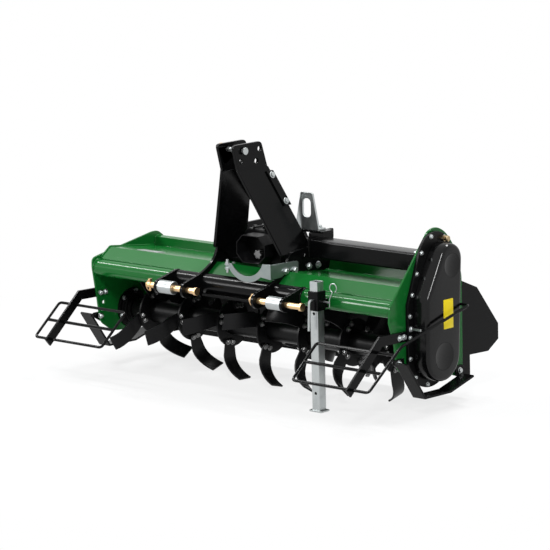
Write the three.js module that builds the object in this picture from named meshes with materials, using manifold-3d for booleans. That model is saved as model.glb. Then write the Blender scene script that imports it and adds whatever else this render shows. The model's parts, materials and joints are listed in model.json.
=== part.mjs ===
import * as THREE from 'three';
import { mergeVertices } from 'three/addons/utils/BufferGeometryUtils.js';
import Module from 'manifold-3d';

const wasm = await Module();
wasm.setup();

// ---------------------------------------------------------------- sizes, mm
// x runs across the machine, -y is the tractor side, z is up from the floor.
const SPAN = 1500;                 // over the two side plates
const PLATE = 8;                   // side plate thickness
const SHEET = 4;                   // hood sheet
const BOARD = 2.5;                 // tail board sheet
const FIT = 0.3;                   // gap kept between touching parts
const TINE_SETS = 7;               // flanges on the rotor
const TINE_END = 133;              // last flange to the side plate
const TINE_W = 60;                 // tine blade width
const TINE_T = 7;                  // tine blade thickness
const TINE_TURN = 64;              // degrees from radial to the tip
const TIP_R = 207;                 // tine tip radius at mid width
const TINES = 4;                   // on each flange, bent left and right in turn
const TIP_DEG = [32, 17, -2.1, -14.4, -30, -42, -75.6];   // first tine of each flange, from straight down
const TUBE_R = 31;                 // front tube
const TUBE_WALL = 9;
const LUG_IN = 178;                // hitch lug mid planes
const LUG_OUT = 315;
const LUG_T = 12;                  // lug and headstock plate thickness
const PIN_R = 11;                  // lower hitch pins
const TOP_PIN_R = 9.5;
const MAST_IN = 39;                // mast plate mid plane at the top
const MAST_T = 12;                 // mast plate thickness
const BEAM_Y = 84;                 // drive beam section
const BEAM_Z = 68;
const CASE_R = 120;                // gear case flange, round the rotor axis
const COVER_R = 92;
const COVER_T = 66;
const STAND_W = 36;                // parking leg
const STAND_X = 440;
const GUARD_ROD = 5.5;             // guard rod radius
const HUB_R = 42;                  // rotor tube
const STUB_R = 25;                 // rotor stub shafts
const STUB_PLAY = 0.5;             // round a stub shaft in its bore

const rad = (d) => d * Math.PI / 180;
const tineDeg = TIP_DEG.flatMap((d) => Array.from({ length: TINES }, (_, k) => d + k * 360 / TINES));
const halfDeg = Math.atan2(TINE_W / 2, TIP_R) * 180 / Math.PI;
const reach = (d) => Math.hypot(TIP_R, TINE_W / 2) * Math.cos(rad(d));
const AXIS = { y: 0, z: Math.max(...tineDeg.flatMap((d) => [reach(d - halfDeg), reach(d + halfDeg)])) };
const at = (y, dz) => ({ y, z: AXIS.z + dz });
const TUBE = at(-168, 183);
const SHAFT = at(50, 322);         // drive shaft in the gear case and the beam
const PIN = at(-272, 172);
const TOP_PIN = at(-182, 697);
const PTO = at(-44, 294);
const HINGE = at(186, 242);
const FACE = SPAN / 2;             // outer face of a side plate
const INNER = FACE - PLATE;
const TINE_PITCH = 2 * (INNER - TINE_END) / (TINE_SETS - 1);
const stubEnd = INNER - 20;        // tip of a stub shaft
const drumEnd = INNER - 44;        // end of the rotor tube
const bossEnd = drumEnd + 4;       // inner end of a bearing boss

// ---------------------------------------------------------------- materials
const mat = (color, roughness, metalness) =>
  new THREE.MeshStandardMaterial({ color, roughness, metalness });
const green = mat(0x0b6a2b, 0.35, 0.0);
const black = mat(0x17181a, 0.4, 0.0);
const steel = mat(0x2b2c2e, 0.5, 0.6);
const zinc = mat(0xb9bfc4, 0.35, 0.8);
const gold = mat(0xb9963f, 0.35, 0.85);

// ---------------------------------------------------------------- solid kit
function toSolid(geometry) {
  const g = geometry.clone();
  g.deleteAttribute('normal');
  g.deleteAttribute('uv');
  const m = mergeVertices(g, 1e-4);
  const count = m.attributes.position.count;
  const index = m.index ? m.index.array : Uint32Array.from({ length: count }, (_, i) => i);
  return new wasm.Manifold(new wasm.Mesh({
    numProp: 3,
    vertProperties: Float32Array.from(m.attributes.position.array),
    triVerts: Uint32Array.from(index),
  }));
}

function toGeometry(solid) {
  const mesh = solid.getMesh();
  const g = new THREE.BufferGeometry();
  const xyz = new Float32Array(mesh.numVert * 3);
  for (let i = 0; i < mesh.numVert; i++) {
    for (let k = 0; k < 3; k++) xyz[3 * i + k] = mesh.vertProperties[mesh.numProp * i + k];
  }
  g.setAttribute('position', new THREE.BufferAttribute(xyz, 3));
  g.setIndex(new THREE.BufferAttribute(Uint32Array.from(mesh.triVerts), 1));
  g.computeVertexNormals();
  return g;
}

const join = (...solids) => solids.reduce((a, b) => a.add(b));
const cut = (a, ...tools) => tools.reduce((s, t) => s.subtract(t), a);

// A solid between matching rings of points; the first and last ring are capped.
function loft(rings) {
  const n = rings[0].length;
  const xyz = rings.flat().flatMap((p) => [p[0], p[1], p[2]]);
  let tris = [];
  for (let r = 0; r < rings.length - 1; r++) {
    for (let i = 0; i < n; i++) {
      const j = (i + 1) % n;
      const [a, b, c, d] = [r * n + i, r * n + j, (r + 1) * n + j, (r + 1) * n + i];
      tris.push([a, b, c], [a, c, d]);
    }
  }
  const last = (rings.length - 1) * n;
  for (let i = 1; i < n - 1; i++) tris.push([0, i + 1, i], [last, last + i, last + i + 1]);
  const p = (i) => new THREE.Vector3(xyz[3 * i], xyz[3 * i + 1], xyz[3 * i + 2]);
  const volume = tris.reduce((v, [a, b, c]) => v + p(a).dot(p(b).cross(p(c))), 0);
  if (volume < 0) tris = tris.map(([a, b, c]) => [a, c, b]);
  return new wasm.Manifold(new wasm.Mesh({
    numProp: 3, vertProperties: Float32Array.from(xyz), triVerts: Uint32Array.from(tris.flat()),
  }));
}

// Outline with every corner rounded by its own radius (third entry) or r.
function outline(points, r = 0) {
  const shape = new THREE.Shape();
  const n = points.length;
  points.forEach((p, i) => {
    const here = new THREE.Vector2(p[0], p[1]);
    const radius = p[2] ?? r;
    const prev = new THREE.Vector2(...points[(i + n - 1) % n].slice(0, 2)).sub(here);
    const next = new THREE.Vector2(...points[(i + 1) % n].slice(0, 2)).sub(here);
    const bite = Math.min(radius, prev.length() * 0.48, next.length() * 0.48);
    const a = here.clone().add(prev.setLength(bite));
    const b = here.clone().add(next.setLength(bite));
    if (i === 0) shape.moveTo(a.x, a.y); else shape.lineTo(a.x, a.y);
    if (bite > 0) shape.quadraticCurveTo(here.x, here.y, b.x, b.y);
  });
  shape.closePath();
  return shape;
}

const disc = (u, v, r) => { const s = new THREE.Shape(); s.absarc(u, v, r, 0, Math.PI * 2); return s; };

// Outline drawn tight round discs [y, z, radius], given anticlockwise.
function around(discs) {
  const n = discs.length;
  const lean = discs.map(([y, z, r], i) => {
    const [v, w, q] = discs[(i + 1) % n];
    return Math.atan2(w - z, v - y) - Math.acos((r - q) / Math.hypot(v - y, w - z));
  });
  const s = new THREE.Shape();
  discs.forEach(([y, z, r], i) => {
    const from = lean[(i + n - 1) % n];
    const turn = (lean[i] - from + 4 * Math.PI) % (2 * Math.PI);
    s.absarc(y, z, r, from, from + turn, false);
  });
  s.closePath();
  return s;
}

const TURN = {                     // shape plane and thickness direction
  x: new THREE.Matrix4().set(0, 0, 1, 0, 1, 0, 0, 0, 0, 1, 0, 0, 0, 0, 0, 1),
  y: new THREE.Matrix4().set(1, 0, 0, 0, 0, 0, -1, 0, 0, 1, 0, 0, 0, 0, 0, 1),
  z: new THREE.Matrix4(),
};

// Plate with its outline square to `axis`, between `from` and `to` on it.
function slab(axis, shape, from, to, segments = 6) {
  const [lo, hi] = [Math.min(from, to), Math.max(from, to)];
  const g = new THREE.ExtrudeGeometry(shape, {
    depth: hi - lo, steps: 1, curveSegments: segments, bevelEnabled: false,
  });
  g.applyMatrix4(TURN[axis]);
  const move = { x: [lo, 0, 0], y: [0, hi, 0], z: [0, 0, lo] }[axis];
  g.translate(...move);
  return toSolid(g);
}

const rect = (u0, u1, v0, v1, r = 0) => outline([[u0, v0], [u1, v0], [u1, v1], [u0, v1]], r);
const box = (x0, x1, y0, y1, z0, z1) => slab('z', rect(x0, x1, y0, y1), z0, z1);

// Round bar along an axis between two stations; c is the pair of other coordinates.
function round(axis, c, r, from, to, sides = 32) {
  const shape = new THREE.Shape();
  for (let i = 0; i < sides; i++) {
    const t = (i + 0.5) * 2 * Math.PI / sides;
    const k = r / Math.cos(Math.PI / sides);
    const q = [c[0] + k * Math.cos(t), c[1] + k * Math.sin(t)];
    if (i === 0) shape.moveTo(...q); else shape.lineTo(...q);
  }
  shape.closePath();
  return slab(axis, shape, from, to);
}

// Flat strip of thickness t that follows a bent line in (y, z); `side` grows both faces.
function ribbon(points, t, side = 0) {
  const n = points.length;
  const dir = points.slice(1).map((p, i) => {
    const d = [p[0] - points[i][0], p[1] - points[i][1]];
    const l = Math.hypot(...d);
    return [d[0] / l, d[1] / l];
  });
  const edge = (sign) => points.map((p, i) => {
    const a = dir[Math.max(0, i - 1)], b = dir[Math.min(n - 2, i)];
    const m = [-(a[1] + b[1]), a[0] + b[0]];
    const l = Math.hypot(...m);
    const reach = sign * (t / 2 + side) / ((-m[0] * a[1] + m[1] * a[0]) / l);
    const end = i === 0 ? -side : i === n - 1 ? side : 0;
    const d = i === 0 ? dir[0] : dir[n - 2];
    return [p[0] + m[0] / l * reach + d[0] * end, p[1] + m[1] / l * reach + d[1] * end];
  });
  return outline([...edge(1), ...edge(-1).reverse()]);
}

// Bent line with arcs of radius r in place of its inner corners.
function bend(points, r, steps = 4) {
  const v = points.map((p) => new THREE.Vector3(...p));
  const out = [v[0]];
  for (let i = 1; i < v.length - 1; i++) {
    const a = v[i].clone().add(v[i - 1].clone().sub(v[i]).setLength(r));
    const b = v[i].clone().add(v[i + 1].clone().sub(v[i]).setLength(r));
    const q = new THREE.QuadraticBezierCurve3(a, v[i], b);
    out.push(...q.getPoints(steps));
  }
  out.push(v[v.length - 1]);
  return out;
}

// Round rod along a line of points.
function rod(line, r, sides = 8) {
  let side = new THREE.Vector3();
  const rings = line.map((p, i) => {
    const a = line[Math.max(0, i - 1)], b = line[Math.min(line.length - 1, i + 1)];
    const t = b.clone().sub(a).normalize();
    if (i === 0) side = Math.abs(t.z) < 0.9 ? new THREE.Vector3(0, 0, 1) : new THREE.Vector3(1, 0, 0);
    side = side.clone().addScaledVector(t, -side.dot(t)).normalize();
    const up = t.clone().cross(side);
    return Array.from({ length: sides }, (_, k) => {
      const w = k * 2 * Math.PI / sides;
      const q = p.clone().addScaledVector(side, r * Math.cos(w)).addScaledVector(up, r * Math.sin(w));
      return [q.x, q.y, q.z];
    });
  });
  return loft(rings);
}

// ---------------------------------------------------------------- assembly
const part = new THREE.Group();
part.name = 'rotary_tiller';
function add(name, solid, material) {
  const mesh = new THREE.Mesh(toGeometry(solid), material);
  mesh.name = name;
  part.add(mesh);
}
const both = (make) => { for (const [side, s] of [['left', -1], ['right', 1]]) make(side, s); };

// ---- hood profile in (y, z), from the front tube to the rear lip
const Z = (dz) => AXIS.z + dz;
const bendTop = [-105, Z(252)];
const onTube = TUBE_R + SHEET / 2 + FIT;
const start = Math.atan2(33, 10);
const hoodLine = [
  [TUBE.y + onTube * Math.cos(start), TUBE.z + onTube * Math.sin(start)],
  bendTop, [143, Z(222)], [146, Z(256)], [172, Z(258)],
];
const hoodSlope = (hoodLine[2][1] - bendTop[1]) / (hoodLine[2][0] - bendTop[0]);
const hoodTop = (y) => bendTop[1] + (y - bendTop[0]) * hoodSlope;
add('hood_sheet', slab('x', ribbon(hoodLine, SHEET), -INNER + FIT, INNER - FIT), green);
const hoodCutter = slab('x', ribbon(hoodLine, SHEET, FIT), -INNER, INNER);

// ---- front tube
const tubeAt = [TUBE.y, TUBE.z];
add('front_tube', cut(round('x', tubeAt, TUBE_R, -INNER + FIT, INNER - FIT, 40),
  round('x', tubeAt, TUBE_R - TUBE_WALL, -FACE, FACE, 24)), green);
const tubeCutter = round('x', tubeAt, TUBE_R + FIT, -FACE, FACE, 40);

// ---- side plates
const low = [[198, Z(10), 20], [196, Z(-106), 14], [150, Z(-110), 12], [110, Z(-80), 20], [-60, Z(-80), 30],
  [-106, Z(-74), 20], [-156, Z(-39), 12], [-169, Z(-21), 12], [-180, Z(63), 10]];
const leftEdge = [[-200, Z(186), 8], [-199, Z(222), 26], [-160, Z(231), 20], [130, Z(279), 20],
  [160, Z(279), 14], [198, Z(252), 18]];
const rightEdge = [[-206, Z(140), 8], [-203, Z(195), 10], [14, Z(443), 20], [58, Z(452), 20],
  [104, Z(432), 24], [146, Z(386), 24], [184, Z(320), 40], [198, Z(252), 10]];
const hingeHole = round('x', [HINGE.y, HINGE.z], 6, -FACE - 1, FACE + 1, 16);
add('side_plate_left', cut(slab('x', outline([...low, ...leftEdge]), -FACE, -INNER), hingeHole,
  round('x', [-147, Z(44)], 7, -FACE - 1, 0, 16)), green);
add('side_plate_right', cut(slab('x', outline([...low, ...rightEdge]), INNER, FACE), hingeHole,
  round('x', [AXIS.y, AXIS.z], 58, 0, FACE + 1)), green);

// ---- gear case on the right side plate: round low end, upright then slanted front, narrow head
const caseDiscs = (r) => [[AXIS.y, AXIS.z, r], [SHAFT.y - 10, SHAFT.z + 22, r - 26],
  [AXIS.y + 51 - r, Z(185), 50]];
const coverDiscs = (inset) => [[AXIS.y, AXIS.z, COVER_R - inset],
  [SHAFT.y, SHAFT.z + 18, COVER_R - 33 - inset], [AXIS.y + 43 - COVER_R, Z(200), 40 - inset]];
add('gear_case', cut(join(
  slab('x', around(caseDiscs(CASE_R)), FACE + FIT, FACE + 12, 14),
  round('x', [AXIS.y, AXIS.z], 57, bossEnd, FACE + 2)),
round('x', [AXIS.y, AXIS.z], STUB_R + STUB_PLAY, bossEnd - 12, stubEnd + 16)), black);
const coverFace = FACE + 12 + FIT + COVER_T;
const dish = (c, r) => round('x', [c.y, c.z], r, coverFace - 6, coverFace + 5, 36);
const coverRing = ([x, inset]) =>
  around(coverDiscs(inset)).getPoints(10).slice(0, -1).map((p) => [x, p.x, p.y]);
const coverBody = loft([[FACE + 12 + FIT, 0], [coverFace - 12, 0], [coverFace - 5, 3],
  [coverFace - 1, 8], [coverFace, 14]].map(coverRing));
const coverSpace = slab('x', around(coverDiscs(8)), FACE, coverFace - 16, 8);
add('gear_cover', cut(coverBody, dish(AXIS, 50), dish(SHAFT, 43), coverSpace), black);

// ---- rotor bearing on the left side plate
const bearing = (r, from, to) => round('x', [AXIS.y, AXIS.z], r, from, to, 36);
add('bearing_housing', cut(join(bearing(76, -INNER + FIT, -INNER + 12),
  bearing(60, -INNER + 10, -INNER + 30), bearing(48, -INNER + 28, -bossEnd)),
bearing(STUB_R + STUB_PLAY, -stubEnd - 6, -bossEnd + 12)), black);

// ---- headstock plates and hitch lugs
const eye = (r) => slab('x', disc(PIN.y, PIN.z, r), -LUG_T / 2, LUG_T / 2, 10);
const seat = hoodLine[0];
const headstock = cut(join(eye(30), slab('x', outline([
  [-285, Z(146), 12], [-172, Z(146)], [-168, Z(183)], seat, bendTop, [84, hoodTop(84)],
  [118, hoodTop(118) + 12], [147, Z(348), 4], [147, Z(380), 6], [22, Z(380), 6],
  [14, Z(330), 10], [-96, Z(322), 24], [-122, Z(262), 40], [-190, Z(224), 30],
  [-278, Z(202), 10]]), -LUG_T / 2, LUG_T / 2)),
  tubeCutter, hoodCutter, round('x', [PIN.y, PIN.z], PIN_R + FIT, -20, 20));
const outerLug = cut(join(eye(28), slab('x', outline([
  [-285, Z(147), 12], [-172, Z(146)], [-168, Z(183)], [-166, Z(222), 0], [-185, Z(222), 12],
  [-278, Z(199), 10]]), -LUG_T / 2, LUG_T / 2)),
  tubeCutter, hoodCutter, round('x', [PIN.y, PIN.z], PIN_R + FIT, -20, 20));
both((side, s) => {
  add(`headstock_${side}`, headstock.translate([s * LUG_IN, 0, 0]), black);
  add(`outer_lug_${side}`, outerLug.translate([s * LUG_OUT, 0, 0]), black);
});

// ---- black shells clamped round the front of the tube
const inPlate = LUG_IN - LUG_T / 2 - FIT;
const shell = (from, to, r) => cut(round('x', tubeAt, r, from, to, 32),
  tubeCutter, box(from - 1, to + 1, TUBE.y - 4, TUBE.y + 2 * r, TUBE.z - 2 * r, TUBE.z + 2 * r));
add('tube_shell_middle', join(shell(-inPlate, inPlate, TUBE_R + 8),
  box(-inPlate + 20, inPlate - 20, TUBE.y - TUBE_R - 17, TUBE.y - TUBE_R + 9,
    TUBE.z - TUBE_R - 7, TUBE.z - TUBE_R + 3)), black);
both((side, s) => {
  const ends = [s * (LUG_IN + LUG_T / 2 + FIT), s * (LUG_OUT - LUG_T / 2 - FIT)].sort((a, b) => a - b);
  add(`tube_shell_${side}`, shell(...ends, TUBE_R + 6), black);
});

// ---- mast plates: upright top, splayed middle, foot inside the headstock plates
const FOLD = { y: -212, z: Z(625), w: 162 };
const FOOT = { y: -127, z: Z(312), w: 170, x: inPlate - MAST_T / 2 };
const mastRing = (y, z, w, x, t) =>
  [[x - t, y, z], [x + t, y, z], [x + t, y + w, z], [x - t, y + w, z]];
const mastHoles = [[TOP_PIN.y, TOP_PIN.z], [-94, Z(695)], [-194, Z(658)], [-112, Z(652)]];
const mast = cut(join(
  slab('x', outline([[-210, FOLD.z - 6], [-52, FOLD.z - 6], [-84, Z(722), 16], [-236, Z(722), 18]]),
    MAST_IN - MAST_T / 2, MAST_IN + MAST_T / 2),
  loft([mastRing(FOLD.y, FOLD.z, FOLD.w, MAST_IN, MAST_T / 2),
    mastRing(FOOT.y, FOOT.z, FOOT.w, FOOT.x, MAST_T / 2)]),
  slab('x', outline([[-125, FOOT.z + 4], [41, FOOT.z + 4], [78, Z(290), 12], [78, hoodTop(78) + 10, 8],
    [-46, hoodTop(-46) + 10, 8], [-60, Z(280), 12]]), FOOT.x - MAST_T / 2, FOOT.x + MAST_T / 2)),
...mastHoles.map((c) => round('x', c, TOP_PIN_R + FIT, 0, 100, 20)),
round('x', [SHAFT.y, SHAFT.z], 33, FOOT.x - 60, FOOT.x + 30));
add('mast_right', mast, black);
add('mast_left', mast.mirror([1, 0, 0]), black);

// ---- brace across the rear edges of the splayed mast plates
const along = (s) => {
  const k = (a, b) => a + (b - a) * s;
  return { x: k(MAST_IN, FOOT.x), y: k(FOLD.y, FOOT.y), z: k(FOLD.z, FOOT.z), w: k(FOLD.w, FOOT.w) };
};
const wrap = MAST_T / 2 + 1;
const braceEnds = [0.05, 0.46].map(along);
const wing = (s) => loft(braceEnds.map((e) => [
  [s * (e.x + wrap), e.y + e.w - 28, e.z], [s * (e.x + wrap + 6), e.y + e.w - 28, e.z],
  [s * (e.x + wrap + 6), e.y + e.w + 8, e.z], [s * (e.x + wrap), e.y + e.w + 8, e.z]]));
const web = loft(braceEnds.map((e) => [
  [-e.x - 10, e.y + e.w + 1, e.z], [e.x + 10, e.y + e.w + 1, e.z],
  [e.x + 10, e.y + e.w + 8, e.z], [-e.x - 10, e.y + e.w + 8, e.z]]));
add('mast_brace', join(web, wing(1), wing(-1)), black);

// ---- hitch pins, bushes and lynch pins
function lynch(x, y, z, r) {
  const ring = Array.from({ length: 13 }, (_, i) => {
    const t = rad(90 + 15 * i);
    return new THREE.Vector3(x, y + (r + 9) * Math.cos(t), z + (r + 9) * Math.sin(t));
  });
  return join(round('z', [x, y], 4, z - r - 12, z + r + 4, 12),
    box(x - 5, x + 5, y - 6, y + 6, z + r + 2, z + r + 12), rod(ring, 2.2, 6));
}
const lynchHole = (x, y, z) => round('z', [x, y], 4 + FIT, z - 40, z + 40, 12);
const pinSpans = { left: [-LUG_OUT - 63, -LUG_IN + 56], right: [LUG_IN - 32, LUG_OUT + 85] };
both((side, s) => {
  const [from, to] = pinSpans[side];
  const x = from + 14;
  add(`lower_pin_${side}`, cut(join(round('x', [PIN.y, PIN.z], PIN_R, from, to, 28),
    round('x', [PIN.y, PIN.z], PIN_R + 4, to - 12, to, 28)), lynchHole(x, PIN.y, PIN.z)), gold);
  add(`lynch_pin_${side}`, lynch(x, PIN.y, PIN.z, PIN_R), gold);
  const bush = [s * (LUG_OUT - LUG_T / 2 - FIT), s * (LUG_OUT - LUG_T / 2 - FIT - 70)];
  add(`pin_bush_${side}`, cut(round('x', [PIN.y, PIN.z], 24.5, ...bush, 36),
    round('x', [PIN.y, PIN.z], PIN_R + FIT, -400, 400, 28)), zinc);
});
add('top_pin', cut(join(round('x', [TOP_PIN.y, TOP_PIN.z], TOP_PIN_R, -76, 58, 24),
  round('x', [TOP_PIN.y, TOP_PIN.z], TOP_PIN_R + 4, 50, 58, 24)),
lynchHole(-64, TOP_PIN.y, TOP_PIN.z)), zinc);
add('top_lynch_pin', lynch(-64, TOP_PIN.y, TOP_PIN.z, TOP_PIN_R), gold);

// ---- gearbox between the headstock plates, shaft guard and side neck
const boxFront = PTO.y;
const baseHalf = inPlate - MAST_T - FIT;
const ribs = [-60, 0, 60].map((x) => box(x - 5, x + 5, boxFront + 20, 100, Z(376), Z(386)));
add('gearbox', join(
  slab('x', outline([[boxFront, Z(256)], [112, Z(256)], [118, Z(330)], [92, Z(378)],
    [boxFront + 20, Z(378)], [boxFront, Z(364)]], 10), -92, 92),
  box(-baseHalf, baseHalf, boxFront + 6, 108, Z(250), Z(262)),
  round('x', [SHAFT.y, SHAFT.z], 30, 80, inPlate),
  round('x', [SHAFT.y, SHAFT.z], 40, -104, 0), ...ribs), black);
const octagon = (w, h, c) => outline([[-w + c, -h], [w - c, -h], [w, -h + c], [w, h - c],
  [w - c, h], [-w + c, h], [-w, h - c], [-w, -h + c]].map(([u, v]) => [u, v + Z(317)]));
add('shaft_guard', cut(slab('y', octagon(71, 52, 30), -110, boxFront - FIT),
  slab('y', octagon(68, 49, 29), -140, boxFront + 10)), black);

// ---- drive beam from the headstock plate to the right side plate
const beamFrom = LUG_IN + LUG_T / 2 + FIT;
const section = (w, h) => rect(SHAFT.y - w, SHAFT.y + w, SHAFT.z - h, SHAFT.z + h, 9);
add('drive_beam', cut(join(slab('x', section(BEAM_Y / 2, BEAM_Z / 2), beamFrom, INNER - FIT),
  slab('x', section(BEAM_Y / 2 + 14, BEAM_Z / 2 + 22), INNER - 12, INNER - FIT)),
slab('x', section(BEAM_Y / 2 - 8, BEAM_Z / 2 - 8), beamFrom - 5, INNER - 12)), black);

// ---- shaft holder: strip on the right headstock plate, cradle across the front
const HOLD = { y: -210, z: Z(266), t: 6 };
const arc = (u, v, r, from, to, n = 12) => Array.from({ length: n + 1 }, (_, i) => {
  const t = rad(from + (to - from) * i / n);
  return [u + r * Math.cos(t), v + r * Math.sin(t)];
});
const cradle = outline([[beamFrom + HOLD.t, HOLD.z - 28], [beamFrom + HOLD.t, HOLD.z + 28],
  ...arc(70, HOLD.z + 62, 88, -24, -148), [-34, HOLD.z + 12], [-34, HOLD.z - 10],
  ...arc(70, HOLD.z + 62, 110, -142, -50)]);
add('shaft_holder', join(slab('y', cradle, HOLD.y, HOLD.y + HOLD.t),
  slab('x', outline([[HOLD.y + 2, HOLD.z - 28], [-150, HOLD.z - 26],
    [-112, HOLD.z - 8], [-58, HOLD.z - 12, 8],
    [-58, HOLD.z + 22, 8], [HOLD.y + 2, HOLD.z + 28]]), beamFrom, beamFrom + HOLD.t)), zinc);

// ---- lifting plate on top of the right headstock plate
const topEdge = Z(380) + FIT;
add('lift_bracket', box(LUG_IN - 45, LUG_IN + 62, 24, 78, topEdge, topEdge + 8), black);
const LIFT_X = LUG_IN - 17;
const liftShape = outline([[LIFT_X - 59, topEdge + 12], [LIFT_X + 57, topEdge + 12],
  [LIFT_X + 29, Z(527), 6], [LIFT_X - 29, Z(527), 6]]);
liftShape.holes.push(rect(LIFT_X - 20, LIFT_X + 20, Z(435), Z(505), 20));
add('lift_plate', join(slab('y', liftShape, 26, 34),
  box(LIFT_X - 59, LIFT_X + 57, 26, 66, topEdge + 8 + FIT, topEdge + 16)), zinc);

// ---- skids: bent flat bar with tabs on the side plates
both((side, s) => {
  const line = [[-196, Z(2)], [-100, Z(-136)], [42, Z(-138)], [172, Z(-103)]];
  const bar = slab('x', ribbon(line, 8), s * (FACE + 14), s * (FACE + 72));
  const tab = (shape) => slab('x', outline(shape, 5), s * (FACE + FIT), s * (FACE + 7));
  const arm = (y0, y1, z0, z1) =>
    slab('x', rect(y0, y1, z0, z1), s * (FACE + FIT), s * (FACE + 20));
  const frontTab = [[-196, Z(-8)], [-160, Z(-30)], [-138, Z(-26)], [-138, Z(8)], [-196, Z(8)]];
  const rearTab = [[150, Z(-109)], [192, Z(-104)], [192, Z(-72)], [150, Z(-72)]];
  add(`skid_${side}`, join(bar, tab(frontTab), tab(rearTab),
    arm(-194, -186, Z(-10), Z(2)), arm(152, 168, Z(-109), Z(-101))), black);
});

// ---- crop guards: arm on the side plate, three rods in a sloping frame
const GUARD = { top: [-291, Z(55)], low: [-425, Z(-56)], in: FACE - 270, out: FACE + 86 };
const armX = FACE + FIT + 4;
const caseRod = [[GUARD.out + 14, GUARD.top[0] + 29, GUARD.top[1] + 26], [coverFace + 18, 117, Z(168)],
  [FACE + 12 + FIT, 117, Z(168)]];
both((side, s) => {
  const arm = slab('x', ribbon([[-CASE_R - 5, Z(84)], [-262, Z(88)], [-440, Z(-68)]], 36),
    s * (FACE + FIT), s * (FACE + FIT + 8));
  const slope = [GUARD.low[0] - GUARD.top[0], GUARD.low[1] - GUARD.top[1]];
  const mid = [GUARD.top[0] + slope[0] / 2, GUARD.top[1] + slope[1] / 2];
  const corner = (x, p) => [s * x, p[0], p[1]];
  const frame = [corner(armX, GUARD.top), corner(GUARD.in, GUARD.top), corner(GUARD.in, GUARD.low),
    corner(GUARD.out, GUARD.low)];
  const close = s < 0 ? [corner(GUARD.out, GUARD.top), corner(armX - 20, GUARD.top)] : caseRod;
  const bars = [rod(bend([...frame, ...close], 14), GUARD_ROD),
    round('x', mid, GUARD_ROD, s * GUARD.in, s * GUARD.out, 8)];
  if (s > 0) bars.push(round('x', GUARD.top, GUARD_ROD, armX - 20, GUARD.out + 1, 8));
  add(`guard_${side}`, join(arm, ...bars), black);
});

// ---- parking stand
const LEG = { y: TUBE.y - TUBE_R - 41, top: Z(267), foot: 0 };
const SOLE = { x: 30, y: 24 };
const square = (w, from, to, r = 3) =>
  slab('z', rect(STAND_X - w, STAND_X + w, LEG.y - w, LEG.y + w, r), from, to);
const legHoles = [Z(201), Z(151), Z(-140)]
  .map((z) => round('y', [STAND_X, z], 5.5, LEG.y - 60, LEG.y + 60, 12));
add('stand_sleeve', cut(join(square(STAND_W / 2 + 5, Z(162), Z(232)),
  cut(box(STAND_X - 16, STAND_X + 16, LEG.y + 10, TUBE.y, TUBE.z - 16, TUBE.z + 16), tubeCutter)),
square(STAND_W / 2 + 0.8, 0, 900), legHoles[0]), black);
add('stand_leg', cut(join(square(STAND_W / 2, LEG.foot + 4, LEG.top),
  slab('z', rect(STAND_X - SOLE.x, STAND_X + SOLE.x, LEG.y - SOLE.y, LEG.y + SOLE.y, 6),
    LEG.foot, LEG.foot + 6)),
  square(STAND_W / 2 - 3, LEG.foot + 20, 900), ...legHoles), zinc);
const pinFront = LEG.y - STAND_W / 2 - 5;
add('stand_pin', rod(bend([[STAND_X, pinFront + 4.5, Z(201)], [STAND_X, pinFront - 18, Z(201)],
  [STAND_X - 4, pinFront - 18, Z(92)]], 12), 5, 10), zinc);

// ---- hinge rod and tail board: sheet behind the rotor, wings reaching back from its ends
add('hinge_rod', round('x', [HINGE.y, HINGE.z], 5, -FACE, FACE, 16), steel);
const boardLine = [[HINGE.y + 9, HINGE.z - 1], [236, Z(150)], [252, Z(0)], [254, Z(-135)]];
const wingShape = outline([[210, HINGE.z - 10], [302, Z(193)], [422, Z(40)], [422, Z(-18)],
  [362, Z(-54)], [256, Z(-50)], [256, Z(-132)], [224, Z(-132)], [209, Z(-50)]]);
const knuckle = (x0, x1) => cut(round('x', [HINGE.y, HINGE.z], 10, x0, x1, 20),
  round('x', [HINGE.y, HINGE.z], 5.6, x0 - 1, x1 + 1, 16));
const boardEnd = INNER - 6;
add('tail_board', join(slab('x', ribbon(boardLine, BOARD), -boardEnd, boardEnd),
  knuckle(-boardEnd + 36, -boardEnd + 236), knuckle(-120, 120), knuckle(boardEnd - 236, boardEnd - 36),
  slab('x', wingShape, -boardEnd, -boardEnd + BOARD),
  slab('x', wingShape, boardEnd - BOARD, boardEnd)), black);

// ---- rotor: tube with stub shafts, seven flanges of tines
const spindle = (r, half, sides) => round('x', [AXIS.y, AXIS.z], r, -half, half, sides);
add('rotor_tube', cut(join(spindle(HUB_R, drumEnd, 36), spindle(STUB_R, stubEnd, 24)),
  spindle(HUB_R - 7, drumEnd - 18, 24), spindle(14, INNER, 16)), steel);
function tine(side) {
  const rootR = 56, straight = TIP_R - 89, curve = 92, turn = rad(TINE_TURN), steps = 6;
  const stations = [[0, rootR, 0], [0, straight, 0]];
  for (let i = 1; i <= steps; i++) {
    const t = turn * i / steps;
    stations.push([curve * (1 - Math.cos(t)), straight + curve * Math.sin(t), t]);
  }
  const end = stations[stations.length - 1];
  const tip = TIP_R - Math.sin(turn) * TINE_T / 2;
  stations.push([end[0] + (tip - end[1]) * Math.tan(turn), tip, turn]);
  return loft(stations.map(([x, r, t]) => {
    const sweepFrom = straight - 8;
    const sweep = 26 * Math.pow(Math.max(0, r - sweepFrom) / (TIP_R - sweepFrom), 1.6) - 26;
    const half = r < straight ? 22 : TINE_W / 2;
    const n = [Math.cos(t) * TINE_T / 2, -Math.sin(t) * TINE_T / 2];
    const p = (k, w) => [side * (7 + x + k * n[0]), sweep + w, -(r + k * n[1])];
    return [p(-1, -half), p(1, -half), p(1, half), p(-1, half)];
  }));
}
const hub = cut(round('x', [0, 0], 88, -4, 4, 28), round('x', [0, 0], HUB_R + FIT, -20, 20, 36));
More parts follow.
